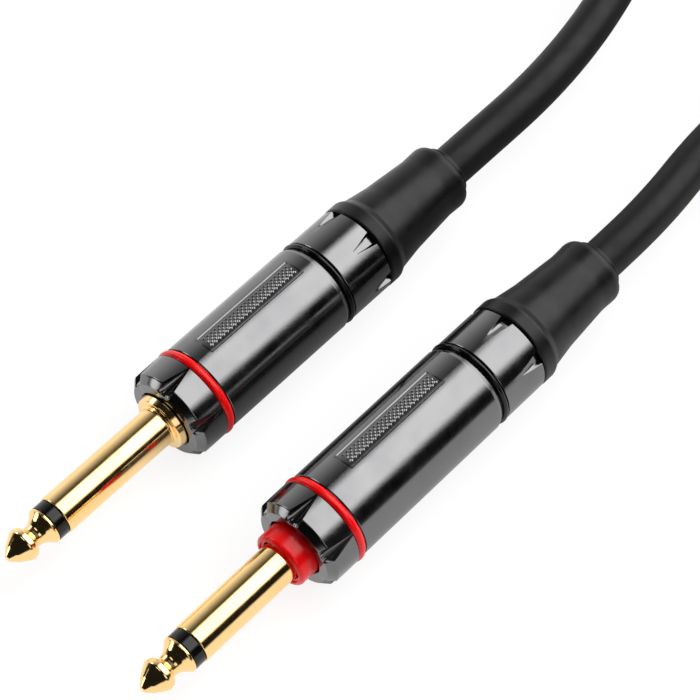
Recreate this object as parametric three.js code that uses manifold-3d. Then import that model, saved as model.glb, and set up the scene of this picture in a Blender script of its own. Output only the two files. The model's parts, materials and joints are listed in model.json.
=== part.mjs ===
// Instrument cable: a shielded cable, coiled flat, with a 6.35 mm two-pole phone plug on each end.
// Plug A has fixed gold contacts with a shoulder. Plug B has a sprung collar that works a reed switch.
//
// Units are millimetres, +Z is up. The plugs lie side by side on the floor and point along -Y, and
// the coil lies behind them. The origin is on the floor, in the middle of the object's box.

import * as THREE from 'three';
import { mergeVertices } from 'three/addons/utils/BufferGeometryUtils.js';
import Module from 'manifold-3d';

const wasm = await Module();
wasm.setup();

// ---------------------------------------------------------------- driving dimensions

const PLUG_SPACING = 30;        // distance between the two plugs' axes
const TIP_LEAD_B = 2.5;         // how far plug B's tip stands ahead of plug A's
const RING_R = 7.65;            // the widest ring of a plug, which rests on the floor
const SHANK_R = 3.175;          // 6.35 mm contact
const TIP_END = 7.55;           // length of the tip contact
const INSULATOR_END = 9.45;     // rear end of the visible insulating ring
const SHOULDER = 30.5;          // tip end to the shoulder of plug A
const GAP = 0.1;                // clearance between fixed neighbours

const NOSE_R = 7.5;
const BODY_R = 7.4;
const SHELL_BORE_R = 6.3;
const NOSE_HOLE_R = 4.75;
const NUT_R = 7.35;
const NUT_LENGTH = 7.9;
const SPIGOT_R = 6.1;
const BOOT_LENGTH = 21.2;       // boot's length behind the nut
const BOOT_R = 7.4;             // the boot's flange, a little prouder than the nut
const CHUCK_HOLE_R = 3.6;       // round the cable's jacket
const BOOT_HOLE_R = 3.7;        // leaves the bent cable free when the gland is unscrewed
const GRIPS = 6;                // flutes in a nose and notches in a nut

const ROD_R = 1.2;              // rod that carries the tip contact through the plug
const ROD_END = 2.2;            // its length behind the solder station
const SLEEVE_BORE_R = 2.2;
const BARREL_R = 3.4;           // sleeve contact inside the housing
const STRIP_Z = -3.9;           // ground lug's strip, below the cable
const CORE_START = 3.6;         // conductor's end behind the solder station
const JACKET_INSET = 13;        // jacket's end ahead of the nut's front face

const COLLAR_R = 4.5;
const COLLAR_FRONT = 27;        // tip end to the collar's front face

const JACKET_R = 3.4;
const SHIELD_R = 2.4;
const INSULATION_R = 1.6;
const CONDUCTOR_R = 0.55;

const COIL_R = 85;
const COIL_TURNS = 2.5;
const COIL_PITCH = 7.3;         // rise of one turn, a little more than the cable's diameter
const LEAD_BEND_R = 110;        // radius of every bend in the two leads
const SWAY_B = THREE.MathUtils.degToRad(8);   // lead B first swings this far away from its side
const BEND_START_A = 108;       // bends start this far behind plug A's tip
const BEND_START_B = 100;
const FLEX_NEAR = 112;          // the cable's two flex points on each lead, behind plug A's tip
const FLEX_FAR = 150;
const FLEX_GAP = 1.6;           // free length left at a flex point
const DESCENT_START_A = 45;     // the leads leave the plugs' height this far into a bend
const DESCENT_START_B = 75;
const LEVEL_MARGIN_B = 8;       // lead B is level this far beyond its far flex point
const STEP = 30;                // longest straight facet along the cable

const TURNED_SIDES = 16;
const CABLE_SIDES = 8;

// Plug stations, all measured from the tip end. The nut's front face is the shell's rear station.
const PLUG_A = { nose: 31.8, nut: 65.0, solder: 41.3, insert: 35.7, fluteAngle: 6, notchAngle: 33 };
const PLUG_B = { nose: 30.2, nut: 68.0, solder: 47.5, insert: 44.0, fluteAngle: 2, notchAngle: 2 };

// ---------------------------------------------------------------- materials

const MATERIALS = {
  gold: { color: '#f0b64c', roughness: 0.12, metalness: 1 },
  darkChrome: { color: '#5c5c60', roughness: 0.2, metalness: 1 },
  redPlastic: { color: '#d40d10', roughness: 0.25, metalness: 0 },
  blackGloss: { color: '#0b0b0c', roughness: 0.2, metalness: 0 },
  blackRubber: { color: '#1b1b1c', roughness: 0.7, metalness: 0 },
  greyPlastic: { color: '#3a3c40', roughness: 0.5, metalness: 0 },
  steel: { color: '#b9bbbe', roughness: 0.3, metalness: 1 },
  brass: { color: '#c9a24a', roughness: 0.35, metalness: 1 },
  copper: { color: '#c46f3e', roughness: 0.35, metalness: 1 },
  whitePlastic: { color: '#e6e3da', roughness: 0.5, metalness: 0 },
  glass: { color: '#9fc4a8', roughness: 0.05, metalness: 0 },
};

function piece(name, geometry, material) {
  const mesh = new THREE.Mesh(geometry, new THREE.MeshStandardMaterial(MATERIALS[material]));
  mesh.name = name;
  return mesh;
}

// ---------------------------------------------------------------- shape helpers

// A turned piece round the Y axis. Its outline is a closed loop of [radius, station] points, listed
// up the outside and back down the bore.
function turned(outline, sides = TURNED_SIDES) {
  const points = outline.map(([radius, station]) => new THREE.Vector2(radius, station));
  if (outline[0][0] > 0) {
    points.push(points[0].clone());
  }
  return new THREE.LatheGeometry(points, sides);
}

function block(width, depth, height, x, y, z) {
  return new THREE.BoxGeometry(width, depth, height).translate(x, y, z);
}

function solid(geometry) {
  const bare = geometry.index ? geometry.toNonIndexed() : geometry.clone();
  bare.deleteAttribute('normal');
  bare.deleteAttribute('uv');
  const merged = mergeVertices(bare, 1e-4);
  return new wasm.Manifold(new wasm.Mesh({
    numProp: 3,
    vertProperties: merged.attributes.position.array,
    triVerts: new Uint32Array(merged.index.array),
  }));
}

function geometryOf(manifold) {
  const mesh = manifold.getMesh();
  const geometry = new THREE.BufferGeometry();
  geometry.setAttribute('position', new THREE.BufferAttribute(mesh.vertProperties, 3));
  geometry.setIndex(new THREE.BufferAttribute(mesh.triVerts, 1));
  const faceted = geometry.toNonIndexed();
  faceted.computeVertexNormals();
  return faceted;
}

function joined(...geometries) {
  return geometryOf(geometries.map(solid).reduce((whole, next) => whole.add(next)));
}

function cut(geometry, cutters) {
  return geometryOf(cutters.map(solid).reduce((whole, next) => whole.subtract(next), solid(geometry)));
}

// One copy of a geometry for each grip, turned round the plug's axis. Angles run from +Z to +X.
function roundTheAxis(geometry, firstAngle) {
  return Array.from({ length: GRIPS }, (_, i) => {
    const angle = THREE.MathUtils.degToRad(firstAngle + (i * 360) / GRIPS);
    return geometry.clone().rotateY(angle);
  });
}

// A lying cone that cuts a groove, widest at its mouth and running out to nothing at its apex.
function grooveCutter(apex, mouth, surfaceR, mouthR) {
  const length = Math.abs(mouth - apex);
  const cone = new THREE.ConeGeometry(mouthR, length, 8);
  if (mouth > apex) {
    cone.rotateX(Math.PI);
  }
  return cone.translate(0, (apex + mouth) / 2, surfaceR + 0.2);
}

// ---------------------------------------------------------------- contacts

function tipContact(plug) {
  const rimR = 2.95;
  const rodEnd = plug.solder + ROD_END;
  return turned([
    [0, 0], [0.9, 0.25], [1.55, 1.24], [2.3, 2.3], [2.62, 3.0], [2.25, 4.05],
    [1.73, 4.65], [1.85, 5.8], [2.3, 6.9], [rimR, 7.4], [rimR, TIP_END],
    [ROD_R, TIP_END], [ROD_R, rodEnd], [0, rodEnd],
  ]);
}

function tipInsulator(plug) {
  const ringR = 3.0;
  const boreR = ROD_R + GAP;
  const tubeR = SLEEVE_BORE_R - GAP;
  const front = TIP_END + GAP;
  const tubeEnd = plug.solder - 1;
  return turned([
    [boreR, front], [ringR, front], [ringR, INSULATOR_END],
    [tubeR, INSULATOR_END], [tubeR, tubeEnd], [boreR, tubeEnd],
  ]);
}

function sleeveContactA(plug) {
  const flangeR = 4.53;
  const flangeEnd = SHOULDER + 1;
  const stepR = 4.25;
  const stepEnd = plug.insert - 0.3;
  const front = INSULATOR_END + GAP;
  return turned([
    [SLEEVE_BORE_R, front], [SHANK_R, front], [SHANK_R, SHOULDER],
    [flangeR, SHOULDER], [flangeR, flangeEnd], [stepR, flangeEnd], [stepR, stepEnd],
    [BARREL_R, stepEnd], [BARREL_R, plug.solder], [SLEEVE_BORE_R, plug.solder],
  ]);
}

function sleeveContactB(plug) {
  const front = INSULATOR_END + GAP;
  return turned([
    [SLEEVE_BORE_R, front], [SHANK_R, front], [SHANK_R, plug.insert],
    [BARREL_R, plug.insert], [BARREL_R, plug.solder], [SLEEVE_BORE_R, plug.solder],
  ]);
}

function rearInsulator(plug) {
  const outerR = 3.2;
  const boreR = ROD_R + 0.15;
  const front = plug.solder + GAP;
  const rear = plug.solder + 1;
  return turned([[boreR, front], [outerR, front], [outerR, rear], [boreR, rear]]);
}

// A ring riveted on the tip rod, with a tab that runs back beside the bared conductor.
function tipLug(plug) {
  const start = plug.solder + 1 + GAP;
  const thickness = 0.5;
  const tabLength = 3.6;
  const outerR = 2.7;
  const boreR = ROD_R + 0.15;
  const ring = turned([
    [boreR, start], [outerR, start], [outerR, start + thickness], [boreR, start + thickness],
  ]);
  const tab = block(2, tabLength, thickness, 0, start + tabLength / 2, 2);
  return joined(ring, tab);
}

// A ring on the sleeve's barrel, a strip beside the solder space, and a band round the shield.
function groundLug(plug) {
  const start = plug.solder - 0.8;
  const thickness = 0.5;
  const bandWidth = 1.4;
  const bandEnd = jacketStart(plug) - 0.4;
  const bandStart = bandEnd - bandWidth;
  const [ringBoreR, ringR] = [BARREL_R + GAP, 3.95];
  const [bandBoreR, bandR] = [SHIELD_R + 0.2, 3.1];
  const ring = turned([
    [ringBoreR, start], [ringR, start], [ringR, start + thickness], [ringBoreR, start + thickness],
  ]);
  const band = turned([
    [bandBoreR, bandStart], [bandR, bandStart], [bandR, bandEnd], [bandBoreR, bandEnd],
  ]);
  const strip = block(2, bandEnd - start, thickness, 0, (start + bandEnd) / 2, STRIP_Z);
  const bridge = block(2, bandWidth, 1.3, 0, (bandStart + bandEnd) / 2, STRIP_Z + 0.4);
  return joined(ring, strip, band, bridge);
}

function jacketStart(plug) {
  return plug.nut - JACKET_INSET;
}

// ---------------------------------------------------------------- housing

function insertBody(plug) {
  const outerR = 6.05;
  const boreR = BARREL_R + 0.2;
  const cupR = 5.3;
  const rear = plug.nut - 12.9;
  const cupFront = plug.solder - 1;
  return turned([
    [boreR, plug.insert], [outerR, plug.insert], [outerR, rear], [cupR, rear],
    [cupR, cupFront], [boreR, cupFront],
  ]);
}

function shell(plug) {
  const nose = plug.nose;
  const rear = plug.nut - 1;
  const rearChamfer = 1;
  const rearR = 7.0;
  const faceR = 6.57;
  const faceChamfer = 1.05;
  const grooveR = 7.0;
  const grooveFront = nose + 5.5;
  const grooveRear = nose + 7.15;
  const wall = 3.2;
  const body = turned([
    [NOSE_HOLE_R, nose], [faceR, nose], [NOSE_R, nose + faceChamfer], [NOSE_R, grooveFront],
    [grooveR, grooveFront], [grooveR, grooveRear], [BODY_R, grooveRear],
    [BODY_R, rear - rearChamfer], [rearR, rear], [SHELL_BORE_R, rear],
    [SHELL_BORE_R, nose + wall], [NOSE_HOLE_R, nose + wall],
  ]);
  const flute = grooveCutter(nose + 5.9, nose - 0.6, NOSE_R, 1.3);
  return cut(body, roundTheAxis(flute, plug.fluteAngle));
}

function colourRing(plug) {
  const front = plug.nose + 5.6;
  const width = 1.45;
  const boreR = 7.1;
  const edgeR = 7.45;
  const edge = 0.35;
  return turned([
    [boreR, front], [edgeR, front], [RING_R, front + edge], [RING_R, front + width - edge],
    [edgeR, front + width], [boreR, front + width],
  ]);
}

function oRing(plug) {
  const front = plug.nut - 1 + GAP;
  const width = 1 - 2 * GAP;
  return turned([
    [6.55, front], [7.25, front], [7.47, front + width / 2], [7.25, front + width],
    [6.55, front + width], [6.35, front + width / 2],
  ]);
}

// ---------------------------------------------------------------- gland

function glandNut(plug) {
  const front = plug.nut;
  const rear = front + NUT_LENGTH;
  const spigotEnd = front - 6.5;
  const spigotBoreR = 5.1;
  const boreR = 5.95;
  const wall = 2;
  const notchLength = 3.6;
  const body = turned([
    [spigotBoreR, spigotEnd], [SPIGOT_R, spigotEnd], [SPIGOT_R, front], [NUT_R, front],
    [NUT_R, rear], [boreR, rear], [boreR, front + wall], [spigotBoreR, front + wall],
  ]);
  const notch = grooveCutter(rear - notchLength, rear + 0.5, NUT_R + 0.2, 1.35);
  return cut(body, roundTheAxis(notch, plug.notchAngle));
}

function boot(plug) {
  const nutRear = plug.nut + NUT_LENGTH;
  const front = plug.nut + 2.2;
  const neckR = 5.8;
  const flange = nutRear + 0.2;
  const flangeEnd = nutRear + 2.7;
  const end = nutRear + BOOT_LENGTH;
  return turned([
    [BOOT_HOLE_R, front], [neckR, front], [neckR, flange], [BOOT_R - 0.15, flange],
    [BOOT_R, flange + 0.4], [BOOT_R, flangeEnd - 0.3], [6.6, flangeEnd + 0.3], [5.45, end - 4.6],
    [5.6, end - 1.9], [5.3, end - 1.1], [4.4, end - 0.7], [4.3, end], [BOOT_HOLE_R, end],
  ]);
}

function strainChuck(plug) {
  const front = plug.nut - 12.5;
  const shoulder = plug.nut - 7.7;
  const rear = plug.nut - 3;
  const headR = 5.9;
  const fingerR = 4.8;
  const slots = 2;
  const slotWidth = 0.8;
  const tube = turned([
    [CHUCK_HOLE_R, front], [headR, front], [headR, shoulder],
    [fingerR, shoulder], [fingerR, rear], [CHUCK_HOLE_R, rear],
  ]);
  const slotFront = front + 2;
  const slotRear = rear + 1;
  const slot = block(2 * NUT_R, slotRear - slotFront, slotWidth, 0, (slotRear + slotFront) / 2, 0);
  const cutters = Array.from({ length: slots }, (_, i) => slot.clone().rotateY((i * Math.PI) / slots));
  return cut(tube, cutters);
}

function thrustWasher(plug) {
  const front = plug.nut - 7.4;
  const rear = front + 0.6;
  const [boreR, outerR] = [5, 6];
  return turned([[boreR, front], [outerR, front], [outerR, rear], [boreR, rear]]);
}

// ---------------------------------------------------------------- silent switch of plug B

function collar() {
  const front = COLLAR_FRONT;
  const flangeFront = PLUG_B.nose + 3.6;
  const flangeRear = flangeFront + 1.4;
  const flangeR = 5.1;
  const boreR = 3.4;
  const edge = 0.6;
  return turned([
    [boreR, front], [COLLAR_R - edge, front], [COLLAR_R, front + edge], [COLLAR_R, flangeFront],
    [flangeR, flangeFront], [flangeR, flangeRear], [boreR, flangeRear],
  ]);
}

function collarMagnet() {
  const front = PLUG_B.nose + 5.1;
  const rear = front + 2;
  const [boreR, outerR] = [3.5, 4.6];
  return turned([[boreR, front], [outerR, front], [outerR, rear], [boreR, rear]]);
}

class SpringCurve extends THREE.Curve {
  constructor(radius, from, to, turns) {
    super();
    Object.assign(this, { radius, from, to, turns });
  }

  getPoint(u, target = new THREE.Vector3()) {
    const angle = u * this.turns * 2 * Math.PI;
    const y = this.from + u * (this.to - this.from);
    return target.set(this.radius * Math.sin(angle), y, this.radius * Math.cos(angle));
  }
}

function collarSpring() {
  const turns = 4;
  const stepsPerTurn = 10;
  const wireR = 0.25;
  const coilR = 4.1;
  const from = PLUG_B.nose + 7.2 + wireR;
  const to = PLUG_B.insert - GAP - wireR;
  const curve = new SpringCurve(coilR, from, to, turns);
  return alongCurve(curve, circleShape(wireR, 5), turns * stepsPerTurn);
}

function reedSwitch() {
  const axisZ = 5.25;
  const glassR = 0.7;
  const leadR = 0.25;
  const front = PLUG_B.insert + 1;
  const glassEnd = front + 6.5;
  const leadEnd = glassEnd + 0.7;
  const outline = [
    [0, front - 0.6], [leadR, front - 0.6], [leadR, front], [glassR, front + 0.4],
    [glassR, glassEnd - 0.4], [leadR, glassEnd], [leadR, leadEnd], [0, leadEnd],
  ];
  return turned(outline, 10).translate(0, 0, axisZ);
}

function switchCarrier() {
  const front = PLUG_B.insert + 0.3;
  const length = 8;
  return block(2.4, length, 0.4, 0, front + length / 2, 4.25);
}

// The slot in plug B's insert that holds the reed switch and its strip.
function insertWithSwitchSlot(plug) {
  const depthZ = 4;
  const slot = block(3, 10, depthZ, 0, plug.insert + 4, 3.95 + depthZ / 2);
  return cut(insertBody(plug), [slot]);
}

// ---------------------------------------------------------------- cable path

const tipY = { a: 0, b: -TIP_LEAD_B };
const leadSide = COIL_R - PLUG_SPACING / 2;
const bendAngleA = Math.acos(1 - leadSide / (2 * LEAD_BEND_R));
const swayWidth = 2 * LEAD_BEND_R * (1 - Math.cos(SWAY_B));
const bendAngleB = Math.acos(1 - (leadSide + swayWidth) / (2 * LEAD_BEND_R));
const coilY = BEND_START_B + 2 * LEAD_BEND_R * (Math.sin(SWAY_B) + Math.sin(bendAngleB));
const bendEndA = BEND_START_A + 2 * LEAD_BEND_R * Math.sin(bendAngleA);
const coreStartA = PLUG_A.solder + CORE_START;
const coreStartB = PLUG_B.solder + CORE_START - TIP_LEAD_B;

// Seen from above, the cable is a chain of straights and arcs: [length, curvature], left is positive.
const straight = (length) => [length, 0];
const bend = (radius, angle) => [radius * Math.abs(angle), Math.sign(angle) / radius];
const CHAIN = [
  straight(BEND_START_A - coreStartA),
  bend(LEAD_BEND_R, bendAngleA),
  bend(LEAD_BEND_R, -bendAngleA),
  straight(coilY - bendEndA),
  bend(COIL_R, -COIL_TURNS * 2 * Math.PI),
  bend(LEAD_BEND_R, -bendAngleB),
  bend(LEAD_BEND_R, bendAngleB + SWAY_B),
  bend(LEAD_BEND_R, -SWAY_B),
  straight(BEND_START_B - coreStartB),
];
const chainEnds = CHAIN.reduce((ends, [length]) => [...ends, ends[ends.length - 1] + length], [0]);
const cableLength = chainEnds[chainEnds.length - 1];
const coilStart = chainEnds[4];
const coilEnd = chainEnds[5];

// The plan position at a distance along the cable.
function planPoint(distance) {
  let x = -PLUG_SPACING / 2;
  let y = coreStartA;
  let heading = Math.PI / 2;
  let left = distance;
  for (const [length, curvature] of CHAIN) {
    const run = Math.min(left, length);
    if (curvature === 0) {
      x += run * Math.cos(heading);
      y += run * Math.sin(heading);
    } else {
      const turnedBy = run * curvature;
      x += (Math.sin(heading + turnedBy) - Math.sin(heading)) / curvature;
      y -= (Math.cos(heading + turnedBy) - Math.cos(heading)) / curvature;
      heading += turnedBy;
    }
    left -= run;
  }
  return { x, y };
}

// The cable's height: level with the plugs' axes, down to the floor, up round the coil, down to plug B.
function height(distance) {
  const { smoothstep, clamp } = THREE.MathUtils;
  const descentA = [chainEnds[1] + DESCENT_START_A, chainEnds[3]];
  const descentB = [coilEnd + DESCENT_START_B, cableLength - (FLEX_FAR + LEVEL_MARGIN_B - coreStartB)];
  const coilTop = JACKET_R + COIL_PITCH * COIL_TURNS;
  const inCoil = clamp((distance - coilStart) / (coilEnd - coilStart), 0, 1);
  const leadA = (RING_R - JACKET_R) * (1 - smoothstep(distance, ...descentA));
  const leadB = (RING_R - coilTop) * smoothstep(distance, ...descentB);
  return JACKET_R + leadA + COIL_PITCH * COIL_TURNS * inCoil + leadB;
}

class CableCurve extends THREE.Curve {
  constructor(from, to) {
    super();
    this.from = from;
    this.to = to;
  }

  getPoint(u, target = new THREE.Vector3()) {
    const distance = this.from + u * (this.to - this.from);
    const { x, y } = planPoint(distance);
    return target.set(x, y, height(distance));
  }
}

function circleShape(radius, sides, holeR = 0) {
  const corners = (r) => Array.from({ length: sides }, (_, i) => {
    const angle = (i * 2 * Math.PI) / sides;
    return new THREE.Vector2(r * Math.cos(angle), r * Math.sin(angle));
  });
  const shape = new THREE.Shape(corners(radius));
  if (holeR > 0) {
    shape.holes.push(new THREE.Path(corners(holeR)));
  }
  return shape;
}

function alongCurve(curve, shape, steps) {
  return new THREE.ExtrudeGeometry(shape, { steps, extrudePath: curve, bevelEnabled: false });
}

const LAYERS = {
  jacket: { radius: JACKET_R, hole: SHIELD_R + GAP, material: 'blackRubber' },
  shield: { radius: SHIELD_R, hole: INSULATION_R + GAP, material: 'copper' },
  insulation: { radius: INSULATION_R, hole: CONDUCTOR_R + GAP, material: 'whitePlastic' },
  conductor: { radius: CONDUCTOR_R, hole: 0, material: 'copper' },
};

// One length of the cable. Towards a plug, each inner layer stands further out than its cover.
function cableLengthOf(suffix, from, to, strippedFrom = {}, strippedTo = {}) {
  const steps = Math.max(1, Math.ceil((to - from) / STEP));
  return Object.entries(LAYERS).map(([layer, { radius, hole, material }]) => {
    const start = from + (strippedFrom[layer] ?? 0);
    const end = to - (strippedTo[layer] ?? 0);
    const curve = new CableCurve(start, end);
    const shape = circleShape(radius, CABLE_SIDES, hole);
    return piece(`cable_${layer}_${suffix}`, alongCurve(curve, shape, steps), material);
  });
}

// ---------------------------------------------------------------- assembly

function commonParts(plug) {
  return {
    tip_contact: [tipContact(plug), 'gold'],
    tip_insulator: [tipInsulator(plug), 'blackGloss'],
    rear_insulator: [rearInsulator(plug), 'whitePlastic'],
    tip_lug: [tipLug(plug), 'brass'],
    ground_lug: [groundLug(plug), 'brass'],
    shell: [shell(plug), 'darkChrome'],
    colour_ring: [colourRing(plug), 'redPlastic'],
    o_ring: [oRing(plug), 'blackRubber'],
    gland_nut: [glandNut(plug), 'darkChrome'],
    boot: [boot(plug), 'blackRubber'],
    strain_chuck: [strainChuck(plug), 'greyPlastic'],
    thrust_washer: [thrustWasher(plug), 'whitePlastic'],
  };
}

const PARTS_A = {
  ...commonParts(PLUG_A),
  sleeve_contact: [sleeveContactA(PLUG_A), 'gold'],
  insert_body: [insertBody(PLUG_A), 'greyPlastic'],
};

const PARTS_B = {
  ...commonParts(PLUG_B),
  sleeve_contact: [sleeveContactB(PLUG_B), 'gold'],
  insert_body: [insertWithSwitchSlot(PLUG_B), 'greyPlastic'],
  collar: [collar(), 'redPlastic'],
  collar_magnet: [collarMagnet(), 'steel'],
  collar_spring: [collarSpring(), 'steel'],
  reed_switch: [reedSwitch(), 'glass'],
  switch_carrier: [switchCarrier(), 'greyPlastic'],
};

function plugGroup(suffix, parts, x) {
  const group = new THREE.Group();
  Object.entries(parts).forEach(([name, [geometry, material]]) => {
    group.add(piece(`${name}_${suffix}`, geometry, material));
  });
  group.position.set(x, tipY[suffix], RING_R);
  return group;
}

// How far behind the conductor's end each outer layer of a stub begins.
function stripLengths(plug) {
  const jacket = jacketStart(plug) - plug.solder - CORE_START;
  return { jacket, shield: jacket - 2.2, insulation: jacket - 3 };
}

function cablePieces() {
  const nearA = FLEX_NEAR - coreStartA;
  const farA = FLEX_FAR - coreStartA;
  const nearB = cableLength - (FLEX_NEAR - coreStartB);
  const farB = cableLength - (FLEX_FAR - coreStartB);
  const half = FLEX_GAP / 2;
  return [
    ...cableLengthOf('stub_a', 0, nearA - half, stripLengths(PLUG_A)),
    ...cableLengthOf('link_a', nearA + half, farA - half),
    ...cableLengthOf('coil', farA + half, farB - half),
    ...cableLengthOf('link_b', farB + half, nearB - half),
    ...cableLengthOf('stub_b', nearB + half, cableLength, {}, stripLengths(PLUG_B)),
  ];
}

const cable = new THREE.Group();
cable.add(plugGroup('a', PARTS_A, -PLUG_SPACING / 2));
cable.add(plugGroup('b', PARTS_B, PLUG_SPACING / 2));
cable.add(...cablePieces());

const box = new THREE.Box3().setFromObject(cable);
const middle = box.getCenter(new THREE.Vector3());
cable.position.set(-middle.x, -middle.y, -box.min.z);

const instrumentCable = new THREE.Group();
instrumentCable.add(cable);

export default instrumentCable;
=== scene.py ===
"""Looks of the instrument cable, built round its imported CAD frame.

Lengths are millimetres until grid_object() and the frame helpers turn them into metres.
A plug's pieces are drawn in the plug's own terms: a radius r from its axis, a station t behind
its tip end, and an angle round the axis from +Z towards +X.
"""

import json
import math

import bmesh
import bpy
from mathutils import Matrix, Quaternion, Vector

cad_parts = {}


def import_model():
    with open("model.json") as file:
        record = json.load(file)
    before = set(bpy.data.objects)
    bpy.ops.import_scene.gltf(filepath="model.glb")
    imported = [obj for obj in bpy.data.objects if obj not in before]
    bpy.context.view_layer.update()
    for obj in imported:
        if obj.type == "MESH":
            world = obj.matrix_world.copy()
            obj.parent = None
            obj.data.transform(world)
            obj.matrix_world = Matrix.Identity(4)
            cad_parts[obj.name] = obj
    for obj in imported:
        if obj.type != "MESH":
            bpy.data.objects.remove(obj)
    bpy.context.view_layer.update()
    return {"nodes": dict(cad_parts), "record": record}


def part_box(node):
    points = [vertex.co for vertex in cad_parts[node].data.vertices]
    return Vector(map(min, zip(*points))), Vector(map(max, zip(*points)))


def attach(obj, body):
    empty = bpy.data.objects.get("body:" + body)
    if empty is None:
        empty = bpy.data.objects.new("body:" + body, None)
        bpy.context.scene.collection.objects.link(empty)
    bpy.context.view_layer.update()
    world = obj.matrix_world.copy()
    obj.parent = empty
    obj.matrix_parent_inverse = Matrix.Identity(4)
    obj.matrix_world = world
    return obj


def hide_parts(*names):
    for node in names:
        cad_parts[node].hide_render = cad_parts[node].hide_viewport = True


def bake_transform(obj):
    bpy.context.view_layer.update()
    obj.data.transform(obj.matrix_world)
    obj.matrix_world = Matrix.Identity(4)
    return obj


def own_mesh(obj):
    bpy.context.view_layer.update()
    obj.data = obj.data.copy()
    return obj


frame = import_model()

MM = 0.001
TURN = 2 * math.pi

# ---------------------------------------------------------------- driving dimensions

# The plugs. Angles are in degrees.
SHANK_R = 3.175
NOSE_R = 7.5
BODY_R = 7.4
NUT_R = 7.35
ROD_R = 1.2
SHANK_REAR_R = 3.4
SLEEVE_BORE_R = 2.2
SEAL_WIDTH = 1.0
NUT_LENGTH = 7.9
THREAD_PITCH = 1.5
GRIPS = 6
FLUTE_ANGLE = {"a": 6, "b": 2}
NOTCH_ANGLE = {"a": 33, "b": 2}
# The raised panel's middle angle, half width as an angle, and front and rear stations.
BADGE = {"a": (-5, 15.1, 41.5, 61.0), "b": (-7.5, 14.6, 42.0, 61.8)}
SHOULDER = 30.5
AXIS_R = 0.02

# The cable. BEND_START, FLEX and FAR_END places are distances along a lead from the level of plug A's
# tip. DESCENT_START_A counts from the start of lead A's bend, and DESCENT_START_B from the coil's end.
COIL_R = 85
COIL_TURNS = 2.5
COIL_PITCH = 7.3
LEAD_BEND_R = 110
SWAY_B = math.radians(8)
BEND_START_A = 108
BEND_START_B = 100
FLEX_NEAR = 112
FLEX_FAR = 150
DESCENT_START_A = 45
DESCENT_START_B = 75
LEVEL_MARGIN_B = 8
FAR_END = 175
BLEND_REACH = {"near": 12, "far": 16}
CORE_START = 3.6
JACKET_INSET = 13
# Each layer's outer and inner radius, and how far it is bared past the jacket's end inside a plug.
# The conductor runs on to its solder point.
LAYER_R = {"jacket": (3.4, 2.5), "shield": (2.4, 1.7), "insulation": (1.6, 0.65), "conductor": (0.55, 0)}
STRIPPED = {"jacket": 0, "shield": 2.2, "insulation": 3.0, "conductor": math.inf}
LAYER_SLOT = {
    "jacket": "jacket_rubber", "shield": "copper", "insulation": "white_plastic", "conductor": "copper",
}


# ---------------------------------------------------------------- places read from the frame

class Plug:
    """One plug's axis, and where its CAD parts begin and end behind its tip."""

    def __init__(self, suffix):
        self.suffix = suffix
        low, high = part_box(f"tip_contact_{suffix}")
        self.x = (low.x + high.x) / 2 / MM
        self.z = (low.z + high.z) / 2 / MM
        self.tip_y = low.y / MM
        self.nose = self.span("shell")[0]
        self.shell_rear = self.span("shell")[1]
        self.nut = self.shell_rear + SEAL_WIDTH
        self.solder = self.span("sleeve_contact")[1]

    def span(self, part):
        """The stations where a CAD part of this plug begins and ends."""
        low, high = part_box(f"{part}_{self.suffix}")
        return low.y / MM - self.tip_y, high.y / MM - self.tip_y

    def point(self, r, t, angle):
        """A place on the plug, in millimetres in the shared frame."""
        return Vector((self.x + r * math.sin(angle), self.tip_y + t, self.z + r * math.cos(angle)))


# ---------------------------------------------------------------- mesh helpers

def grid_object(name, rings, material, closed=True):
    """A solid through rings of points. It closes on itself like a torus, or has flat ends."""
    mesh = bpy.data.meshes.new(name)
    width = len(rings[0])
    points = [point * MM for ring in rings for point in ring]
    faces = []
    for i in range(len(rings) if closed else len(rings) - 1):
        here = i * width
        there = (i + 1) % len(rings) * width
        for j in range(width):
            k = (j + 1) % width
            faces.append((here + j, here + k, there + k, there + j))
    if not closed:
        faces.append(tuple(range(width)))
        faces.append(tuple(len(points) - width + j for j in range(width)))
    mesh.from_pydata(points, [], faces)
    return mesh_object(name, mesh, material)


def mesh_object(name, mesh, material, sharp=35):
    """Finishes a mesh: faces out, smooth but for its sharp edges, and its material."""
    work = bmesh.new()
    work.from_mesh(mesh)
    bmesh.ops.remove_doubles(work, verts=work.verts, dist=1e-7)
    bmesh.ops.recalc_face_normals(work, faces=work.faces)
    work.to_mesh(mesh)
    work.free()
    mesh.shade_smooth()
    mesh.set_sharp_from_angle(angle=math.radians(sharp))
    mesh.materials.append(material)
    made = bpy.data.objects.new(name, mesh)
    bpy.context.scene.collection.objects.link(made)
    return made


def place(piece, body, slot, *nodes):
    """The piece rides on a body and stands for CAD nodes, which are hidden. The slot is not used."""
    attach(piece, body)
    if nodes:
        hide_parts(*nodes)
    return piece


def rounded(outline, steps=5):
    """A closed outline of (r, t) or (r, t, fillet radius) points, with its arcs put in."""
    points = []
    for i, (r, t, *fillet) in enumerate(outline):
        corner = Vector((r, t))
        if not fillet:
            points.append(corner)
            continue
        before = (Vector(outline[i - 1][:2]) - corner).normalized()
        after = (Vector(outline[(i + 1) % len(outline)][:2]) - corner).normalized()
        half = before.angle(after) / 2
        reach = fillet[0] / math.tan(half)
        centre = corner + (before + after).normalized() * fillet[0] / math.sin(half)
        start = corner + before * reach - centre
        end = corner + after * reach - centre
        first = math.atan2(start.y, start.x)
        sweep = (math.atan2(end.y, end.x) - first + math.pi) % TURN - math.pi
        for k in range(steps + 1):
            angle = first + sweep * k / steps
            points.append(centre + Vector((math.cos(angle), math.sin(angle))) * fillet[0])
    return points


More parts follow.
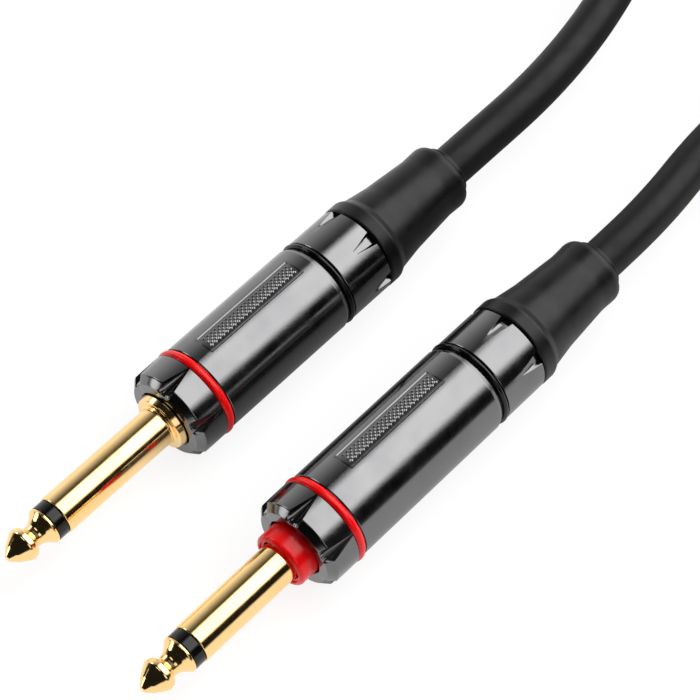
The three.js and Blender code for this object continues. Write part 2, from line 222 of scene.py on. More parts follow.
def supported(points, closed):
    """A point close to each end of every long straight, so its shading stays straight too."""
    close = 0.08
    long = 0.4
    result = []
    for i, point in enumerate(points):
        result.append(point)
        run = points[(i + 1) % len(points)] - point
        if run.length > long and (closed or i < len(points) - 1):
            step = run.normalized() * close
            result += [point + step, point + run - step]
    return result


def turned(plug, name, outline, material, sides=128, closed=True):
    """A piece turned round the plug's axis from its outline."""
    angles = [TURN * j / sides for j in range(sides)]
    profile = supported(rounded(outline), closed)
    rings = [[plug.point(r, t, angle) for angle in angles] for r, t in profile]
    return grid_object(f"{name}_{plug.suffix}", rings, material, closed)


# Across one groove: the place from its middle in half widths, and the share of its depth.
HALF_FLUTE = [
    (0, 1), (0.3, 0.98), (0.4, 0.84), (0.5, 0.96), (0.64, 0.86), (0.82, 0.6),
    (0.95, 0.12), (1, 0), (1.15, 0),
]
HALF_NOTCH = [(0, 1), (0.68, 1), (0.76, 0.9), (0.94, 0.12), (1, 0), (1.15, 0)]
FLUTE = [(-across, depth) for across, depth in reversed(HALF_FLUTE[1:])] + HALF_FLUTE
NOTCH = [(-across, depth) for across, depth in reversed(HALF_NOTCH[1:])] + HALF_NOTCH
LAND_STEPS = 10


def grooved_ring(plug, groove, t, r, half_angle, floor_r, first_angle):
    """One ring of a turned face with a groove at each grip, as points round the axis."""
    ring = []
    pitch = TURN / GRIPS
    for grip in range(GRIPS):
        middle = math.radians(first_angle) + grip * pitch
        for place_across, depth in groove:
            ring.append(plug.point(r + (floor_r - r) * depth, t, middle + place_across * half_angle))
        start = middle + groove[-1][0] * half_angle
        land = pitch - 2 * groove[-1][0] * half_angle
        for k in range(1, LAND_STEPS):
            ring.append(plug.point(r, t, start + land * k / LAND_STEPS))
    return ring


def mix(a, b, share):
    return a + (b - a) * share


def smoothstep(value, low, high):
    share = min(max((value - low) / (high - low), 0), 1)
    return share * share * (3 - 2 * share)


# ---------------------------------------------------------------- materials

class Graph:
    """Short calls for building a node tree."""

    def __init__(self, tree):
        self.tree = tree

    def new(self, kind, **values):
        node = self.tree.nodes.new(kind)
        for key, value in values.items():
            setattr(node, key, value)
        return node

    def link(self, output, target):
        self.tree.links.new(output, target)

    def math(self, operation, *terms):
        """One sum. Each term is a number or another node's output."""
        node = self.new("ShaderNodeMath", operation=operation)
        for term, socket in zip(terms, node.inputs):
            if isinstance(term, (int, float)):
                socket.default_value = term
            else:
                self.link(term, socket)
        return node.outputs["Value"]

    def dot(self, vector, axis):
        node = self.new("ShaderNodeVectorMath", operation="DOT_PRODUCT")
        node.inputs[1].default_value = axis
        self.link(vector, node.inputs[0])
        return node.outputs["Value"]

    def fade(self, value, start, end, low=0, high=1):
        """Runs smoothly from low where the value is at start to high where it is at end."""
        node = self.new("ShaderNodeMapRange", interpolation_type="SMOOTHSTEP")
        for name, number in (("From Min", start), ("From Max", end), ("To Min", low), ("To Max", high)):
            node.inputs[name].default_value = number
        self.link(value, node.inputs["Value"])
        return node.outputs["Result"]

    def if_camera(self, seen, otherwise):
        """One value for what the camera sees directly, and another for light and reflections."""
        rays = self.new("ShaderNodeLightPath")
        direct = self.math("MULTIPLY", rays.outputs["Is Camera Ray"], seen)
        rest = self.math("SUBTRACT", 1, rays.outputs["Is Camera Ray"])
        return self.math("ADD", direct, self.math("MULTIPLY", rest, otherwise))


class Nodes(Graph):
    """A material's node tree with short calls for what every finish here needs."""

    def __init__(self, name):
        self.material = bpy.data.materials.new(name)
        self.material.use_nodes = True
        super().__init__(self.material.node_tree)
        self.shader = self.tree.nodes["Principled BSDF"]
        self.coordinates = self.tree.nodes.new("ShaderNodeTexCoord").outputs["Object"]

    def noise(self, per_mm, detail=2, stretch=(1, 1, 1)):
        """Noise with so many features a millimetre, stretched along the axes."""
        mapping = self.new("ShaderNodeMapping")
        mapping.inputs["Scale"].default_value = stretch
        noise = self.new("ShaderNodeTexNoise")
        noise.inputs["Scale"].default_value = per_mm / MM
        noise.inputs["Detail"].default_value = detail
        self.link(self.coordinates, mapping.inputs["Vector"])
        self.link(mapping.outputs["Vector"], noise.inputs["Vector"])
        return noise.outputs["Fac"]

    def ramp(self, value, low, high):
        """The value spread from its usual range of 0.3 to 0.7 to low and high."""
        spread = self.new("ShaderNodeMapRange")
        spread.inputs["From Min"].default_value = 0.3
        spread.inputs["From Max"].default_value = 0.7
        spread.inputs["To Min"].default_value = low
        spread.inputs["To Max"].default_value = high
        self.link(value, spread.inputs["Value"])
        return spread.outputs["Result"]

    def colour(self, value, dark, light):
        """Base colour that wanders between two colours."""
        blend = self.new("ShaderNodeMix", data_type="RGBA")
        blend.inputs["A"].default_value = (*dark, 1)
        blend.inputs["B"].default_value = (*light, 1)
        self.link(self.ramp(value, 0, 1), blend.inputs["Factor"])
        self.link(blend.outputs["Result"], self.shader.inputs["Base Color"])

    def roughness(self, value, low, high):
        self.link(self.ramp(value, low, high), self.shader.inputs["Roughness"])

    def bump(self, value, height_mm):
        bump = self.new("ShaderNodeBump")
        bump.inputs["Strength"].default_value = 1
        bump.inputs["Distance"].default_value = height_mm * MM
        self.link(value, bump.inputs["Height"])
        self.link(bump.outputs["Normal"], self.shader.inputs["Normal"])

    def set(self, **values):
        for key, value in values.items():
            self.shader.inputs[key.replace("_", " ")].default_value = value


def chrome_finish():
    nodes = Nodes("dark_chrome")
    nodes.set(Metallic=1)
    nodes.colour(nodes.noise(0.15), (0.158, 0.158, 0.162), (0.182, 0.181, 0.18))
    nodes.roughness(nodes.noise(0.4, 4), 0.12, 0.19)
    nodes.bump(nodes.noise(2.6, 3), 0.006)
    return nodes.material


def gold_finish():
    nodes = Nodes("gold_plate")
    nodes.set(Metallic=1)
    nodes.colour(nodes.noise(0.2), (0.97, 0.66, 0.27), (1.0, 0.7, 0.33))
    nodes.roughness(nodes.noise(0.8, 4), 0.07, 0.14)
    nodes.bump(nodes.noise(2.2, 3, (1, 0.25, 1)), 0.0035)
    return nodes.material


def red_finish():
    nodes = Nodes("red_plastic")
    nodes.set(Specular_IOR_Level=0.3)
    nodes.colour(nodes.noise(0.3), (0.91, 0.002, 0.003), (0.97, 0.003, 0.005))
    nodes.roughness(nodes.noise(0.8, 3), 0.18, 0.26)
    nodes.bump(nodes.noise(1.5, 2), 0.002)
    return nodes.material


def gloss_black_finish():
    nodes = Nodes("gloss_black")
    nodes.set(Specular_IOR_Level=0.35)
    nodes.colour(nodes.noise(0.5), (0.002, 0.002, 0.002), (0.004, 0.004, 0.0045))
    nodes.roughness(nodes.noise(1.5, 3), 0.05, 0.12)
    nodes.bump(nodes.noise(4, 2), 0.001)
    return nodes.material


def rubber_finish(name, base, rough, gloss):
    nodes = Nodes(name)
    nodes.set(Specular_IOR_Level=gloss)
    nodes.colour(nodes.noise(0.08, 4), [c * 0.8 for c in base], [c * 1.25 for c in base])
    nodes.roughness(nodes.noise(0.35, 4), rough - 0.06, rough + 0.08)
    nodes.bump(nodes.noise(3.5, 4), 0.012)
    return nodes.material


def moulded_finish(name, base):
    nodes = Nodes(name)
    nodes.colour(nodes.noise(0.3, 3), [c * 0.85 for c in base], [min(c * 1.15, 1) for c in base])
    nodes.roughness(nodes.noise(1, 3), 0.35, 0.55)
    nodes.bump(nodes.noise(4, 3), 0.006)
    return nodes.material


def metal_finish(name, base, rough):
    nodes = Nodes(name)
    nodes.set(Metallic=1)
    nodes.colour(nodes.noise(0.4, 3), [c * 0.8 for c in base], [min(c * 1.1, 1) for c in base])
    nodes.roughness(nodes.noise(1.5, 4), rough - 0.07, rough + 0.1)
    nodes.bump(nodes.noise(6, 3), 0.004)
    return nodes.material


def glass_finish():
    nodes = Nodes("reed_glass")
    nodes.set(Transmission_Weight=1, IOR=1.5)
    nodes.colour(nodes.noise(0.5), (0.7, 0.85, 0.75), (0.85, 0.95, 0.88))
    nodes.roughness(nodes.noise(1), 0.02, 0.08)
    nodes.bump(nodes.noise(1), 0.002)
    return nodes.material


FINISH = {
    "gold": gold_finish(),
    "dark_chrome": chrome_finish(),
    "red_plastic": red_finish(),
    "black_gloss": gloss_black_finish(),
    "seal_rubber": gloss_black_finish(),
    "boot_rubber": rubber_finish("boot_rubber", (0.003, 0.003, 0.0031), 0.34, 0.27),
    "jacket_rubber": rubber_finish("jacket_rubber", (0.006, 0.006, 0.0063), 0.44, 0.21),
    "grey_plastic": moulded_finish("grey_plastic", (0.05, 0.05, 0.06)),
    "white_plastic": moulded_finish("white_plastic", (0.8, 0.78, 0.72)),
    "steel": metal_finish("steel", (0.6, 0.6, 0.62), 0.3),
    "brass": metal_finish("brass", (0.7, 0.55, 0.25), 0.3),
    "copper": metal_finish("copper", (0.72, 0.35, 0.2), 0.3),
    "glass": glass_finish(),
}


# ---------------------------------------------------------------- contacts

def tip(plug):
    """The pointed tip, its waist and its rim, in one piece with the rod behind them."""
    front, rod_end = plug.span("tip_contact")
    rim_r = 3.0
    rim_end = 7.55
    point = [(AXIS_R, front), (0.5, front, 0.3), (1.52, 1.1, 2), (2.25, 2.25, 0.12), (2.72, 3.05, 0.7)]
    waist = [(2.5, 3.95, 0.7), (1.66, 4.6, 0.28), (1.74, 5.5, 1.2), (2.1, 6.2, 1.6), (2.7, 6.85, 0.08)]
    rim = [(rim_r, 7.15, 0.25), (rim_r, rim_end, 0.05), (ROD_R, rim_end)]
    rod = [(ROD_R, rod_end, 0.2), (AXIS_R, rod_end)]
    outline = point + waist + rim + rod
    piece = turned(plug, "gold_tip", outline, FINISH["gold"], closed=False)
    place(piece, f"plug_{plug.suffix}", "gold", f"tip_contact_{plug.suffix}")


def insulator(plug):
    front, tube_end = plug.span("tip_insulator")
    ring_end = plug.span("sleeve_contact")[0] - 0.08
    bore_r = ROD_R + 0.1
    tube_r = SLEEVE_BORE_R - 0.1
    ring_r = 3.0
    outline = [
        (bore_r, front), (ring_r, front, 0.1), (ring_r, ring_end, 0.1), (tube_r, ring_end),
        (tube_r, tube_end), (bore_r, tube_end),
    ]
    piece = turned(plug, "black_ring", outline, FINISH["black_gloss"])
    place(piece, f"plug_{plug.suffix}", "black_gloss", f"tip_insulator_{plug.suffix}")


def shank_with_flange(plug):
    front, rear = plug.span("sleeve_contact")
    step = plug.span("insert_body")[0] - 0.3
    nose = plug.nose
    flange_r = 4.62
    neck_r = 4.25
    outline = [
        (SLEEVE_BORE_R, front), (SHANK_R, front, 0.15), (SHANK_R, SHOULDER, 0.3), (4.4, SHOULDER, 0.22),
        (flange_r, nose - 0.3, 0.1), (flange_r, nose - 0.12, 0.05), (neck_r, nose - 0.1), (neck_r, step),
        (SHANK_REAR_R, step), (SHANK_REAR_R, rear), (SLEEVE_BORE_R, rear),
    ]
    piece = turned(plug, "gold_shank", outline, FINISH["gold"])
    place(piece, f"plug_{plug.suffix}", "gold", f"sleeve_contact_{plug.suffix}")


def plain_shank(plug):
    front, rear = plug.span("sleeve_contact")
    step = plug.span("insert_body")[0]
    outline = [
        (SLEEVE_BORE_R, front), (SHANK_R, front, 0.15), (SHANK_R, step), (SHANK_REAR_R, step),
        (SHANK_REAR_R, rear), (SLEEVE_BORE_R, rear),
    ]
    piece = turned(plug, "gold_shank", outline, FINISH["gold"])
    place(piece, f"plug_{plug.suffix}", "gold", f"sleeve_contact_{plug.suffix}")


def collar(plug):
    front, flange_rear = plug.span("collar")
    flange_front = plug.nose + 3.6
    bore_r = 3.38
    sleeve_r = 4.5
    flange_r = 5.1
    outline = [
        (bore_r, front + 1.2), (bore_r, front + 0.45, 0.08), (3.7, front + 0.4, 0.08),
        (3.8, front + 0.02, 0.15), (sleeve_r, front, 0.62), (sleeve_r, flange_front),
        (flange_r, flange_front, 0.1), (flange_r, flange_rear, 0.1), (bore_r, flange_rear),
    ]
    piece = turned(plug, "red_collar", outline, FINISH["red_plastic"])
    place(piece, "collar", "red_plastic", f"collar_{plug.suffix}")


def return_spring(plug):
    """The spring behind the collar."""
    front, rear = plug.span("collar_spring")
    wire_r = 0.25
    coil_r = 4.1
    turns = 4
    steps = turns * 24
    wire_sides = 10
    around = [TURN * j / wire_sides for j in range(wire_sides)]
    rings = []
    for k in range(steps + 1):
        middle = mix(front + wire_r, rear - wire_r, k / steps)
        angle = turns * TURN * k / steps
        rings.append([
            plug.point(coil_r + wire_r * math.cos(a), middle + wire_r * math.sin(a), angle) for a in around
        ])
    piece = grid_object(f"return_spring_{plug.suffix}", rings, FINISH["steel"], closed=False)
    place(piece, f"plug_{plug.suffix}", "steel", f"collar_spring_{plug.suffix}")
    insert_front = plug.span("insert_body")[0]
    plug.point(0, insert_front, 0) * MM
    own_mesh(piece)


# ---------------------------------------------------------------- housing

def housing(plug):
    """The shell: a fluted nose, the colour ring's groove, a plain barrel and a conical rear edge."""
    nose = plug.nose
    rear = plug.shell_rear
    face_r = 6.5
    chamfer = 1.05
    flute_end = nose + 5.5
    groove_end = nose + 7.15
    groove_r = 7.0
    pocket_front = nose + 3.2
    bore_r = 6.3
    hole_r = 4.75
    rim_depth = 0.1
    cone_start = rear - 0.97
    cone_end = rear - 0.05
    cone_end_r = 7.02
    barrel_steps = 8
    chamfer_steps = 6

    def flute(t, r):
        """Half a flute's angle and its floor's radius. It narrows and gets shallower to the rear."""
        taper = min(max((t - nose - chamfer) / (flute_end - nose - chamfer), 0), 1)
        half_width = mix(1.25, 0.12, taper)
        floor_r = mix(6.15, 7.3, (t - nose) / (flute_end - nose))
        return half_width / NOSE_R, min(r, floor_r)

    # Each row is a radius, a station and whether the flutes cut it. Rows set close together keep the
    # shading of the long faces between them straight.
    rows = [(hole_r + 0.15, nose, False), (face_r - 0.06, nose, True)]
    for k in range(chamfer_steps + 1):
        share = k / chamfer_steps
        rows.append((mix(face_r, NOSE_R - 0.04, share), nose + mix(0.05, chamfer - 0.03, share), True))
    nose_rows = (chamfer + 0.06, chamfer + 0.14, 2, 3.2, 4.4)
    rows += [(NOSE_R, nose + distance, True) for distance in nose_rows]
    rows += [(NOSE_R, flute_end - 0.16, True), (NOSE_R, flute_end - 0.08, True)]
    rows += [(NOSE_R - 0.06, flute_end, True)]
    rows += [(groove_r, flute_end, False), (groove_r, groove_end, False)]
    rows += [(BODY_R - 0.07, groove_end, False)]
    rows += [(BODY_R, groove_end + 0.08, False), (BODY_R, groove_end + 0.16, False)]
    for k in range(1, barrel_steps):
        rows.append((BODY_R, mix(groove_end, rear - 1, k / barrel_steps), False))
    rows += [(BODY_R, cone_start - 0.17, False), (BODY_R, cone_start - 0.09, False)]
    for share in (0, 0.1, 0.9, 1):
        rows.append((mix(BODY_R - 0.03, cone_end_r, share), mix(cone_start, cone_end, share), False))
    rows += [(cone_end_r - 0.05, rear, False), (bore_r + 0.1, rear, False)]
    rows += [(bore_r, rear - 0.1, False), (bore_r, pocket_front, False)]
    rows += [(hole_r, pocket_front, False), (hole_r, nose + 0.15, False)]

    rings = []
    for r, t, grooved in rows:
        half_angle, floor_r = flute(t, r)
        if not grooved:
            floor_r = r
        elif t == nose:
            floor_r -= rim_depth
        rings.append(grooved_ring(plug, FLUTE, t, r, half_angle, floor_r, FLUTE_ANGLE[plug.suffix]))
    piece = grid_object(f"housing_{plug.suffix}", rings, FINISH["dark_chrome"])
    place(piece, f"plug_{plug.suffix}", "dark_chrome", f"shell_{plug.suffix}")


def colour_ring(plug):
    front, rear = plug.span("colour_ring")
    rear -= 0.12
    inner_r = 7.1
    crown_r = 7.66
    outline = [
        (inner_r, front), (7.38, front, 0.1), (crown_r, front + 0.4, 0.45), (crown_r, rear - 0.43, 0.45),
        (7.35, rear, 0.12), (inner_r, rear),
    ]
    piece = turned(plug, "red_ring", outline, FINISH["red_plastic"])
    place(piece, f"plug_{plug.suffix}", "red_plastic", f"colour_ring_{plug.suffix}")


def seal(plug):
    front, rear = plug.span("o_ring")
    middle = (front + rear) / 2
    half = (rear - front) / 2
    middle_r = 7.02
    half_height = 0.45
    steps = 20
    angles = [TURN * k / steps for k in range(steps)]
    outline = [(middle_r + half_height * math.cos(a), middle + half * math.sin(a)) for a in angles]
    piece = turned(plug, "seal", outline, FINISH["seal_rubber"])
    place(piece, f"gland_{plug.suffix}", "seal_rubber", f"o_ring_{plug.suffix}")


def badge(plug):
    """A raised panel on the barrel: a plain frame line round a field of small diamond points."""
    middle, half_width, front, rear = BADGE[plug.suffix]
    half_arc = math.radians(half_width) * BODY_R
    frame_line = [(0, -0.05), (0.08, 0.15), (0.3, 0.15), (0.42, -0.03), (0.6, -0.03)]
    inset = frame_line[-1][0]
    step = 0.4
    point_height = 0.13
    base_r = BODY_R - 0.25

    def knots(length):
        """Grid lines along one side: the frame's at both ends, and an even field between them."""
        count = 2 * round((length - 2 * inset) / step / 2)
        inner = [inset + (length - 2 * inset) * k / count for k in range(1, count)]
        edge = [distance for distance, _ in frame_line]
        return edge + inner + [length - distance for distance in reversed(edge)]

    along = knots(rear - front)
    across = knots(2 * half_arc)

    def height(i, j):
        depth = min(i, j, len(along) - 1 - i, len(across) - 1 - j)
        if depth < len(frame_line):
            return frame_line[depth][1]
        return frame_line[-1][1] + (point_height if (i + j) % 2 == 0 else 0)

    points = []
    for base in (False, True):
        for i, t in enumerate(along):
            for j, arc in enumerate(across):
                r = base_r if base else BODY_R + height(i, j)
                angle = math.radians(middle) + (arc - half_arc) / BODY_R
                points.append(plug.point(r, front + t, angle) * MM)
    width = len(across)
    below = len(along) * width
    faces = []
    for i in range(len(along) - 1):
        for j in range(width - 1):
            a = i * width + j
            b, c, d = a + 1, a + width + 1, a + width
            if (i + j) % 2 == 0:
                faces += [(a, b, d), (b, c, d)]
            else:
                faces += [(a, b, c), (a, c, d)]
            faces.append((below + a, below + b, below + c, below + d))
    for i in range(len(along) - 1):
        for a in (i * width, i * width + width - 1):
            faces.append((a, a + width, below + a + width, below + a))
    for j in range(width - 1):
        for a in (j, (len(along) - 1) * width + j):
            faces.append((a, a + 1, below + a + 1, below + a))
    mesh = bpy.data.meshes.new("badge")
    mesh.from_pydata(points, [], faces)
    piece = mesh_object(f"badge_{plug.suffix}", mesh, FINISH["dark_chrome"], sharp=20)
    place(piece, f"plug_{plug.suffix}", "dark_chrome")


# ---------------------------------------------------------------- gland

def nut(plug):
    """The gland nut: a threaded spigot, a plain barrel and six finger notches at the rear."""
    front = plug.nut
    rear = front + NUT_LENGTH
    spigot_front = plug.span("gland_nut")[0]
    notch_start = rear - 3.9
    crest_r = 6.1
    bore_r = 5.1
    boot_seat_r = 5.95
    boot_seat = front + 2
    thread_depth = 0.45
    thread_steps = 48
    run_out = 5
    valley_slope = 3.2
    valley_flat = 1.3
    notch_rows = 6
    half_front = 0.35
    half_rear = 1.15
    rings = []

    def ring(r, t, floor_r, half_width=half_front):
        first_angle = NOTCH_ANGLE[plug.suffix]
        rings.append(grooved_ring(plug, NOTCH, t, r, half_width / NUT_R, floor_r, first_angle))

    def thread_ring(t, depth):
        """One ring of the screw thread, whose valley climbs with the angle."""
        ring(crest_r, t, crest_r)
        for i, point in enumerate(rings[-1]):
            angle = math.atan2(point.x - plug.x, point.z - plug.z)
            phase = (t / THREAD_PITCH - angle / TURN) % 1
            valley = max(0, 1 - abs(phase - 0.5) * valley_slope)
            rings[-1][i] = plug.point(crest_r - depth * min(1, valley * valley_flat), t, angle)

    def plain(r, t):
        ring(r, t, r)

    plain(bore_r, spigot_front)
    plain(crest_r - thread_depth, spigot_front)
    for k in range(thread_steps + 1):
        fade = min(1, k / run_out, (thread_steps - k) / run_out)
        thread_ring(mix(spigot_front + 0.1, front - 0.9, k / thread_steps), thread_depth * fade)
    plain(crest_r, front - 0.1)
    plain(crest_r + 0.05, front)
    plain(NUT_R - 0.12, front)
    plain(NUT_R - 0.03, front + 0.04)
    plain(NUT_R, front + 0.14)
    plain(NUT_R, front + 0.22)
    plain(NUT_R, mix(front, notch_start, 0.5))
    plain(NUT_R, notch_start - 0.06)
    for share in [k / notch_rows for k in range(notch_rows)] + [0.98, 1]:
        half_width = mix(half_front, half_rear, share)
        ring(NUT_R, mix(notch_start, rear - 0.08, share), NUT_R - mix(0.03, 0.8, share), half_width)
    ring(NUT_R - 0.08, rear, NUT_R - 0.85, half_rear)
    plain(boot_seat_r, rear)
    plain(boot_seat_r, boot_seat)
    plain(bore_r, boot_seat)
    piece = grid_object(f"nut_{plug.suffix}", rings, FINISH["dark_chrome"])
    place(piece, f"gland_{plug.suffix}", "dark_chrome", f"gland_nut_{plug.suffix}")


def boot(plug):
    front, rear = plug.span("boot")
    flange = plug.nut + NUT_LENGTH + 0.2
    flange_end = flange + 2.3
    end = rear - 0.6
    hole_r = 3.7
    root_r = 5.8
    flange_r = 7.4
    outline = [
        (hole_r, front), (root_r, front), (root_r, flange), (flange_r, flange, 0.4),
        (flange_r, flange_end, 1.1), (6.8, flange_end + 1.2, 1.6), (6.15, flange + 7.7, 14),
        (5.48, end - 4.6, 8), (5.6, end - 1.9, 2), (5.35, end - 1.1, 0.5), (4.4, end - 0.95, 0.15),
        (4.35, end, 0.2), (3.85, end, 0.15), (3.8, end - 0.4), (hole_r, end - 0.5),
    ]
    piece = turned(plug, "rubber_boot", outline, FINISH["boot_rubber"])
    place(piece, f"gland_{plug.suffix}", "boot_rubber", f"boot_{plug.suffix}")


# ---------------------------------------------------------------- cable

class CablePath:
    """The cable's middle line: straights and arcs seen from above, with a height along them."""

    def __init__(self, plug_a, plug_b):
        spacing = plug_b.x - plug_a.x
        lead = plug_a.tip_y - plug_b.tip_y
        side = COIL_R - spacing / 2
        angle_a = math.acos(1 - side / (2 * LEAD_BEND_R))
        sway = 2 * LEAD_BEND_R * (1 - math.cos(SWAY_B))
        angle_b = math.acos(1 - (side + sway) / (2 * LEAD_BEND_R))
        coil_y = BEND_START_B + 2 * LEAD_BEND_R * (math.sin(SWAY_B) + math.sin(angle_b))
        bend_end_a = BEND_START_A + 2 * LEAD_BEND_R * math.sin(angle_a)
        self.start_a = plug_a.solder + CORE_START
        self.start_b = plug_b.solder + CORE_START - lead
        self.origin = (plug_a.x, plug_a.tip_y + self.start_a)
        self.axis_z = plug_a.z
        self.chain = [
            (BEND_START_A - self.start_a, 0),
            (LEAD_BEND_R * angle_a, 1 / LEAD_BEND_R),
            (LEAD_BEND_R * angle_a, -1 / LEAD_BEND_R),
            (coil_y - bend_end_a, 0),
            (COIL_R * COIL_TURNS * TURN, -1 / COIL_R),
            (LEAD_BEND_R * angle_b, -1 / LEAD_BEND_R),
            (LEAD_BEND_R * (angle_b + SWAY_B), 1 / LEAD_BEND_R),
            (LEAD_BEND_R * SWAY_B, -1 / LEAD_BEND_R),
            (BEND_START_B - self.start_b, 0),
        ]
        lengths = [length for length, _ in self.chain]
        self.ends = [sum(lengths[:i]) for i in range(len(lengths) + 1)]
        self.length = self.ends[-1]

    def height(self, distance):
        coil_start, coil_end = self.ends[4], self.ends[5]
        descent_end = self.length - (FLEX_FAR + LEVEL_MARGIN_B - self.start_b)
        jacket_r = LAYER_R["jacket"][0]
        top = jacket_r + COIL_PITCH * COIL_TURNS
        in_coil = min(max((distance - coil_start) / (coil_end - coil_start), 0), 1)
        lead_a = 1 - smoothstep(distance, self.ends[1] + DESCENT_START_A, self.ends[3])
        lead_b = smoothstep(distance, coil_end + DESCENT_START_B, descent_end)
        rise = COIL_PITCH * COIL_TURNS * in_coil
        return jacket_r + (self.axis_z - jacket_r) * lead_a + rise + (self.axis_z - top) * lead_b

    def plan(self, distance):
        """The place seen from above, and the heading."""
        x, y = self.origin
        heading = math.pi / 2
        left = distance
        for i, (length, curvature) in enumerate(self.chain):
            run = left if i == len(self.chain) - 1 else min(left, length)
            if curvature == 0:
                x += run * math.cos(heading)
                y += run * math.sin(heading)
            else:
                x += (math.sin(heading + run * curvature) - math.sin(heading)) / curvature
                y -= (math.cos(heading + run * curvature) - math.cos(heading)) / curvature
                heading += run * curvature
            left -= run
        return x, y, heading

    def point(self, distance):
        x, y, _ = self.plan(distance)
        return Vector((x, y, self.height(distance)))

    def ring(self, distance, r, sides):
        x, y, heading = self.plan(distance)
        slope = self.height(distance + 0.5) - self.height(distance - 0.5)
        ahead = Vector((math.cos(heading), math.sin(heading), slope)).normalized()
        side = Vector((math.sin(heading), -math.cos(heading), 0))
        up = side.cross(ahead)
        middle = Vector((x, y, self.height(distance)))
        angles = [TURN * j / sides for j in range(sides)]
        return [middle + side * r * math.cos(a) + up * r * math.sin(a) for a in angles]


def cable_length(path, layer, name, start, end, step):
    """One layer of one length of cable: a fine tube, or a rod where the layer has no bore."""
    outer, bore = LAYER_R[layer]
    sides = max(12, round(outer * 12))
    slot = LAYER_SLOT[layer]
    count = max(2, round((end - start) / step))
    stations = [mix(start, end, k / count) for k in range(count + 1)]
    rings = [path.ring(d, outer, sides) for d in stations]
    if bore:
        rings += [path.ring(d, bore, sides) for d in reversed(stations)]
    piece = grid_object(f"sheath_{layer}_{name}", rings, FINISH[slot], closed=bool(bore))
    return piece


def blend_at(piece, path, station, flex, reach):
    """Bakes the piece's transform into its mesh. The points a reach to each side of the flex point are
    found but not used.
    """
    start = path.point(station(flex - reach)) * MM
    end = path.point(station(flex + reach)) * MM
    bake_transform(piece)


def cable(plug_a, plug_b):
    """Each layer in five lengths: a near and a far one on each lead, and one that rides on the coil."""
    path = CablePath(plug_a, plug_b)
    lead = plug_a.tip_y - plug_b.tip_y
    lead_step = 2
    coil_step = 3.5

    def station_a(t):
        return t - path.start_a

    def station_b(t):
        return path.length - (t - path.start_b)

    middle = (FLEX_NEAR + FLEX_FAR) / 2
    for layer in LAYER_R:
        for plug, station, shift in ((plug_a, station_a, 0), (plug_b, station_b, -lead)):
            suffix = plug.suffix
            entry = max(plug.nut - JACKET_INSET - STRIPPED[layer], plug.solder + CORE_START) + shift
            ends = sorted((station(entry), station(middle)))
            near = cable_length(path, layer, f"near_{suffix}", *ends, lead_step)
            blend_at(near, path, station, FLEX_NEAR, BLEND_REACH["near"])
            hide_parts(f"cable_{layer}_stub_{suffix}", f"cable_{layer}_link_{suffix}")
            ends = sorted((station(middle), station(FAR_END)))
            far = cable_length(path, layer, f"far_{suffix}", *ends, lead_step)
            blend_at(far, path, station, FLEX_FAR, BLEND_REACH["far"])
        coil = cable_length(path, layer, "coil", station_a(FAR_END), station_b(FAR_END), coil_step)
        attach(coil, "coil")
        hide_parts(f"cable_{layer}_coil")


# ---------------------------------------------------------------- hidden parts kept from the CAD

def finish_kept_nodes():
    """Gives every CAD node that is still shown the finish of its own material slot."""
    slots = {part["node"]: part["material_slot"] for part in frame["record"]["subparts"]}
    for name, node in frame["nodes"].items():
        if node.hide_render:
            continue
        node.data.materials.clear()
        node.data.materials.append(FINISH[slots[name]])


# ---------------------------------------------------------------- stage

def direction(azimuth, elevation):
    """A unit vector. Azimuth runs from -Y towards +X, and both angles are in degrees."""
    a = math.radians(azimuth)
    e = math.radians(elevation)
    return Vector((math.sin(a) * math.cos(e), -math.cos(a) * math.cos(e), math.sin(e)))


def soft_box(graph, view, first, second, half_length, edges, radiance):
    """The light from one soft box far away, between two directions and long across them."""
    near, far = direction(*first), direction(*second)
    middle = (near + far).normalized()
    across = (far - near).normalized()
    ahead = graph.dot(view, middle)
    light = radiance
    half_width = math.degrees(near.angle(far) / 2)
    sides = ((across, half_width, edges[0]), (middle.cross(across), half_length, edges[1]))
    for axis, half, edge in sides:
        off = graph.math("ABSOLUTE", graph.math("ARCTAN2", graph.dot(view, axis), ahead))
        mask = graph.fade(off, math.radians(half + edge), math.radians(half - edge))
        light = graph.math("MULTIPLY", mask, light)
    return light


# Two directions on a box's long edges, half its length, its edges' half widths and its radiance.
SOFT_BOXES = {
    "key": ((129.5, 23.5), (-158, 49), 30, (9, 9), 3.5),
    "fill": ((-117, -62), (-117, 35), 45, (38, 12), 1.12),
    "front_left": ((-48, 4), (-48, 21), 8, (3, 3), 3.2),
    "left": ((-92, 27), (-92, 43), 9, (3, 3), 3.4),
    "overhead": ((0, 66), (0, 76), 16, (5, 5), 2),
    "far_side": ((78, 12), (78, 40), 14, (6, 6), 1.2),
}
AMBIENT = 0.012


def world():
    """White to the camera. The object is lit by the soft boxes and a faint even light."""
    made = bpy.data.worlds.new("studio")
    made.use_nodes = True
    graph = Graph(made.node_tree)
    view = graph.new("ShaderNodeTexCoord").outputs["Generated"]
    light = AMBIENT
    for box in SOFT_BOXES.values():
        light = graph.math("ADD", light, soft_box(graph, view, *box))
    background = graph.tree.nodes["Background"]
    background.inputs["Color"].default_value = (1, 1, 1, 1)
    graph.link(graph.if_camera(1, light), background.inputs["Strength"])
    bpy.context.scene.world = made


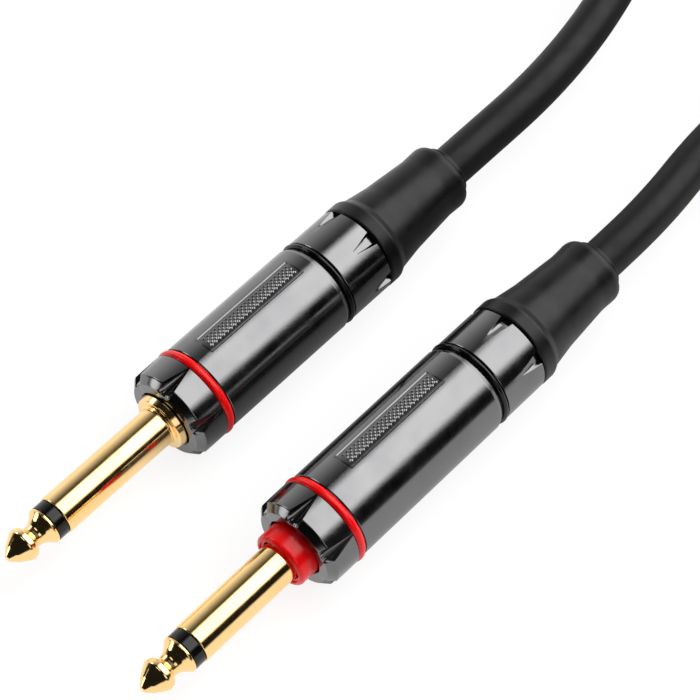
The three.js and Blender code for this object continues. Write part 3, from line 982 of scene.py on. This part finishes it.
def floor_finish(middle_x, nose_y):
    """Pale, softly lit and glowing. In reflections its glow is dim far to +X and holds painted shade
    between the plugs.
    """
    nodes = Nodes("pale_floor")
    nodes.set(Base_Color=(0.2, 0.2, 0.2, 1), Roughness=1, Specular_IOR_Level=0)
    seen_glow = 0.86
    open_glow = 0.85
    painted_shade_depth = 0.85
    far_depth = 0.95
    position = nodes.new("ShaderNodeNewGeometry").outputs["Position"]
    from_middle = nodes.math("SUBTRACT", nodes.dot(position, (1, 0, 0)), middle_x * MM)
    # Painted shade: the glow seen in reflections is dimmed between the plugs, behind their noses.
    beside = nodes.fade(nodes.math("ABSOLUTE", from_middle), 32 * MM, 12 * MM)
    behind_nose = nodes.fade(nodes.dot(position, (0, 1, 0)), (nose_y - 8) * MM, (nose_y + 8) * MM)
    shade = nodes.math("MULTIPLY", nodes.math("MULTIPLY", beside, behind_nose), painted_shade_depth)
    far = nodes.fade(from_middle, 45 * MM, 200 * MM, 0, far_depth)
    open_floor = nodes.math("SUBTRACT", open_glow, nodes.math("MULTIPLY", far, open_glow))
    lit = nodes.math("MULTIPLY", open_floor, nodes.math("SUBTRACT", 1, shade))
    glow = nodes.new("ShaderNodeEmission")
    nodes.link(nodes.if_camera(seen_glow, lit), glow.inputs["Strength"])
    both = nodes.new("ShaderNodeAddShader")
    nodes.link(nodes.shader.outputs["BSDF"], both.inputs[0])
    nodes.link(glow.outputs["Emission"], both.inputs[1])
    nodes.link(both.outputs["Shader"], nodes.tree.nodes["Material Output"].inputs["Surface"])
    return nodes.material


def floor(middle_x, nose_y):
    """A square sheet, wide enough to fill the picture from any side."""
    half = 12000 * MM
    mesh = bpy.data.meshes.new("floor")
    corners = [(-half, -half, 0), (half, -half, 0), (half, half, 0), (-half, half, 0)]
    mesh.from_pydata(corners, [], [(0, 1, 2, 3)])
    made = mesh_object("floor", mesh, floor_finish(middle_x, nose_y))


def camera():
    """A long lens in front of the tips on plug B's side, turned a little round its own axis."""
    aim = Vector((-2.18, -131.3, 7.65))
    back = direction(48.43, 52.55)
    distance = 417
    roll = math.radians(-6.97)
    lens = bpy.data.cameras.new("camera")
    lens.sensor_width = 36
    lens.lens = 144.85
    lens.clip_start = 0.01
    lens.clip_end = 100
    made = bpy.data.objects.new("camera", lens)
    made.location = (aim + back * distance) * MM
    made.rotation_mode = "QUATERNION"
    made.rotation_quaternion = back.to_track_quat("Z", "Y") @ Quaternion((0, 0, 1), roll)
    bpy.context.scene.collection.objects.link(made)
    bpy.context.scene.camera = made


# ---------------------------------------------------------------- assembly

plugs = [Plug("a"), Plug("b")]
for plug in plugs:
    tip(plug)
    insulator(plug)
    housing(plug)
    colour_ring(plug)
    badge(plug)
    seal(plug)
    nut(plug)
    boot(plug)
shank_with_flange(plugs[0])
plain_shank(plugs[1])
collar(plugs[1])
return_spring(plugs[1])
cable(*plugs)
finish_kept_nodes()

floor((plugs[0].x + plugs[1].x) / 2, plugs[0].tip_y + plugs[0].nose)
world()
camera()
bpy.context.scene.view_settings.view_transform = "Standard"
